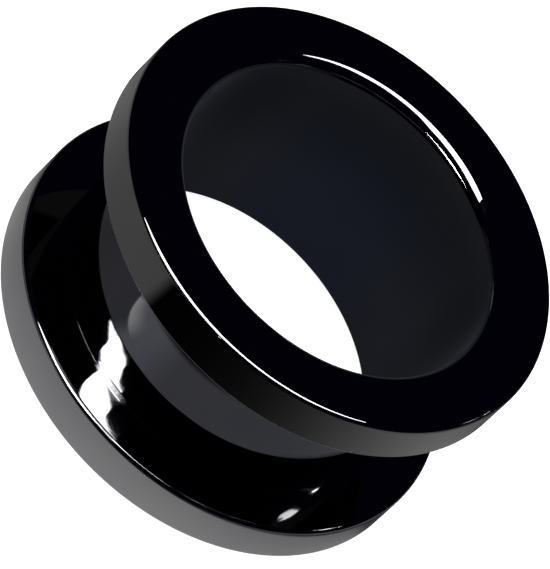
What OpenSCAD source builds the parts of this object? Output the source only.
// Screw-fit ear tunnel in black steel, lying on its lower rim.
// The lower piece is a rim with the sleeve that the ear lobe sits on.
// The upper piece is an equal rim with a thin collar that screws down inside the sleeve.
// Both pieces are turned about the Z axis, so each is one revolved profile.

/* [Ear fit] */
// Outer diameter of the sleeve, which is the gauge that the tunnel is sold by
sleeve_d = 16; // [12:0.5:24]
// Free length of sleeve between the two rims, where the lobe sits
wear_len = 6.3; // [5:0.1:12]

/* [Rims] */
// Distance that both rims stand out past the sleeve
rim_reach = 2; // [1.2:0.1:4]
// Thickness of each rim
rim_t = 2.05; // [1.6:0.05:3]
// Rounding of the rims' outer edges
edge_r = 0.2; // [0.05:0.05:0.5]
// Rounding of the upper rim's inner edge, at the mouth of the bore
mouth_r = 0.5; // [0.2:0.05:0.8]

/* [Walls and fit] */
// Wall of the sleeve
sleeve_wall = 0.34; // [0.3:0.02:1]
// Wall of the collar, between the sleeve and the bore
collar_wall = 0.32; // [0.3:0.02:1]
// Radial gap between the collar and the sleeve
fit_gap = 0.04; // [0.02:0.01:0.1]
// Gap between the sleeve's end and the upper rim
seat_gap = 0.03; // [0.01:0.01:0.1]
// Distance that the collar's end stops short of the lower rim's face
end_recess = 0.1; // [0.05:0.05:0.4]
// Rounding inside the collar's end
end_r = 0.25; // [0.1:0.05:0.3]
// Fillet between the sleeve and the lower rim
root_r = 0.25; // [0.1:0.05:0.5]

/* [Thread] */
// Distance between thread grooves
thread_pitch = 0.5; // [0.4:0.05:0.8]
// Depth of the thread grooves in each wall
thread_depth = 0.12; // [0.05:0.01:0.15]
// Number of thread grooves
thread_turns = 6; // [3:1:8]
// Plain wall between the upper rim and the first groove
thread_relief = 0.5; // [0.3:0.1:1]

/* [Hidden] */
$fn = 192;
black_steel = [0.05, 0.05, 0.06];
// Small chamfer on every edge that would be sharp to the touch
edge_break = 0.08;
// Overlap that keeps a cut or a joined block clear of a shared face
bite = 0.3;
// Part of the thread's pitch that each groove takes up
groove_share = 0.7;

sleeve_r = sleeve_d / 2;
rim_r = sleeve_r + rim_reach;
socket_r = sleeve_r - sleeve_wall;
collar_r = socket_r - fit_gap;
bore_r = collar_r - collar_wall;
end_round = min(end_r, collar_wall * 0.9);
upper_z = rim_t + wear_len;
top_z = upper_z + rim_t;

// A rectangle in the profile plane, from one corner to the opposite one
module block(r0, z0, r1, z1) {
    translate([r0, z0]) square([r1 - r0, z1 - z0]);
}

// What is cut away to round an outer corner; out_r and out_z are 1 or -1 and point out of it
module round_off(r, z, radius, out_r, out_z) {
    side = radius + bite;
    translate([r - out_r * radius, z - out_z * radius])
        difference() {
            translate([min(0, out_r * side), min(0, out_z * side)]) square(side);
            circle(radius);
        }
}

// What is cut away to chamfer an outer corner, with the same directions
module break_edge(r, z, out_r, out_z) {
    translate([r, z])
        polygon([
            [out_r * bite, out_z * bite],
            [-out_r * edge_break, out_z * bite],
            [-out_r * edge_break, 0],
            [0, -out_z * edge_break],
            [out_r * bite, -out_z * edge_break]
        ]);
}

// A fillet in the corner above a face and outside a wall
module root_fillet(wall_r, face_z, radius) {
    difference() {
        block(wall_r - bite / 2, face_z - bite / 2, wall_r + radius, face_z + radius);
        translate([wall_r + radius, face_z + radius]) circle(radius);
    }
}

// One rim's profile, from an inner radius out to its two rounded edges
module rim_profile(inner_r, low_z) {
    difference() {
        block(inner_r, low_z, rim_r, low_z + rim_t);
        round_off(rim_r, low_z + rim_t, edge_r, 1, 1);
        round_off(rim_r, low_z, edge_r, 1, -1);
    }
}

// The thread's grooves in one wall; into is 1 where they cut outwards and -1 where inwards
module thread_grooves(wall_r, into) {
    half = thread_pitch * groove_share / 2;
    start = wall_r - into * fit_gap / 2;
    for (turn = [0 : thread_turns - 1])
        translate([0, upper_z - thread_relief - turn * thread_pitch])
            polygon([
                [start, half],
                [wall_r, half],
                [wall_r + into * thread_depth, 0],
                [wall_r, -half],
                [start, -half]
            ]);
}

// Lower rim and sleeve, one turned piece with a plain socket through it
module sleeve_rim() {
    end_z = upper_z - seat_gap;
    color(black_steel)
        rotate_extrude()
            difference() {
                union() {
                    rim_profile(socket_r, 0);
                    block(socket_r, rim_t - bite, sleeve_r, end_z);
                    root_fillet(sleeve_r, rim_t, root_r);
                }
                break_edge(socket_r, 0, -1, -1);
                break_edge(socket_r, end_z, -1, 1);
                break_edge(sleeve_r, end_z, 1, 1);
                thread_grooves(socket_r, 1);
            }
}

// Upper rim and collar, one turned piece that carries the bore
module screw_rim() {
    color(black_steel)
        rotate_extrude()
            difference() {
                union() {
                    rim_profile(bore_r, upper_z);
                    block(bore_r, end_recess, collar_r, upper_z + bite);
                }
                round_off(bore_r, top_z, mouth_r, -1, 1);
                round_off(bore_r, end_recess, end_round, -1, -1);
                thread_grooves(collar_r, -1);
            }
}

sleeve_rim();
screw_rim();
